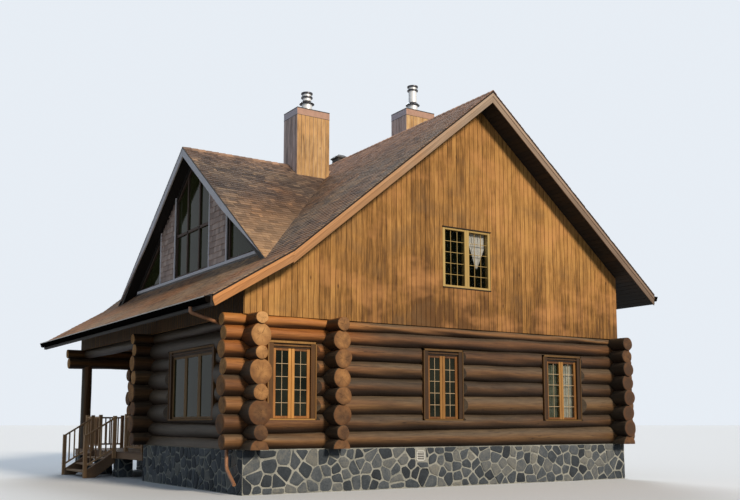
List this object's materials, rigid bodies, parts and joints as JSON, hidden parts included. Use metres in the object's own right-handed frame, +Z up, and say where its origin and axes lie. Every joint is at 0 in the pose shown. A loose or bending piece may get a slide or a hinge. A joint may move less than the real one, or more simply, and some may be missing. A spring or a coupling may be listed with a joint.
{
  "type": "log house",
  "caption": "One-and-a-half-storey round-log house on a fieldstone foundation, with boarded gables, a steep shingled roof, a wide front dormer and an open porch.",
  "frame": {"origin": "on the ground under the middle of the house", "axes": "+X towards the gable with the three lower windows, -Y towards the porch and the dormer, +Z up"},
  "size_m": [12.76, 13.015, 11.839],
  "materials": {
    "fieldstone": "rough grey-blue stones in pale mortar",
    "vent_white": "satin",
    "floor_boards": "oiled boards",
    "logs": "peeled round logs, stained and weathered",
    "boards": "stained vertical boards, weathered",
    "shingles": "mottled brown shingles",
    "roof_trim": "painted, satin",
    "dormer_trim": "painted, satin",
    "dormer_shakes": "grey-brown lapped boards",
    "sash_wood": "stained, satin",
    "olive_wood": "stained, satin",
    "window_glass": "clear",
    "brown_metal": "satin",
    "dark_metal": "satin",
    "copper_pipe": "satin",
    "flue_steel": "bright",
    "porch_wood": "weathered",
    "curtain_cloth": "thin woven cloth in folds"
  },
  "bodies": {
    "root": {"foundation_right": "fieldstone", "foundation_left": "fieldstone", "foundation_back": "fieldstone", "foundation_front": "fieldstone", "foundation_core": "fieldstone", "foundation_room_side": "fieldstone", "foundation_vent": "vent_white", "main_floor": "floor_boards", "upper_floor": "floor_boards", "log_wall_right": "logs", "log_wall_left": "logs", "log_wall_back": "logs", "log_wall_front": "logs", "log_wall_core": "logs", "log_wall_room_side": "logs", "gable_wall_right": "boards", "gable_wall_left": "boards", "knee_wall_front": "boards", "knee_wall_back": "boards", "roof_front_upper": "shingles", "roof_front_lower": "shingles", "roof_back": "shingles", "rake_boards_right": "roof_trim", "rake_boards_left": "roof_trim", "fascia_front": "roof_trim", "fascia_back": "roof_trim", "dormer_wall": "dormer_shakes", "dormer_roof_right": "shingles", "dormer_roof_left": "shingles", "dormer_rake_boards": "dormer_trim", "window_frames_right": "sash_wood", "window_frames_left": "sash_wood", "window_frames_back": "sash_wood", "window_frame_front": "sash_wood", "window_frames_upper": "olive_wood", "window_frames_dormer": "sash_wood", "glass_right": "window_glass", "glass_left": "window_glass", "glass_back": "window_glass", "glass_front": "window_glass", "glass_upper": "window_glass", "glass_dormer": "window_glass", "curtains": "curtain_cloth", "front_door": "sash_wood", "chimney_front": "boards", "chimney_back": "boards", "chimney_caps": "brown_metal", "flues": "flue_steel", "roof_vent": "dark_metal", "porch_deck": "porch_wood", "porch_piers": "fieldstone", "porch_post": "logs", "porch_railing": "porch_wood", "stair_treads": "porch_wood", "stair_stringers": "porch_wood", "stair_rails": "porch_wood", "gutters": "dark_metal", "downspout": "copper_pipe"}
  },
  "joints": []
}
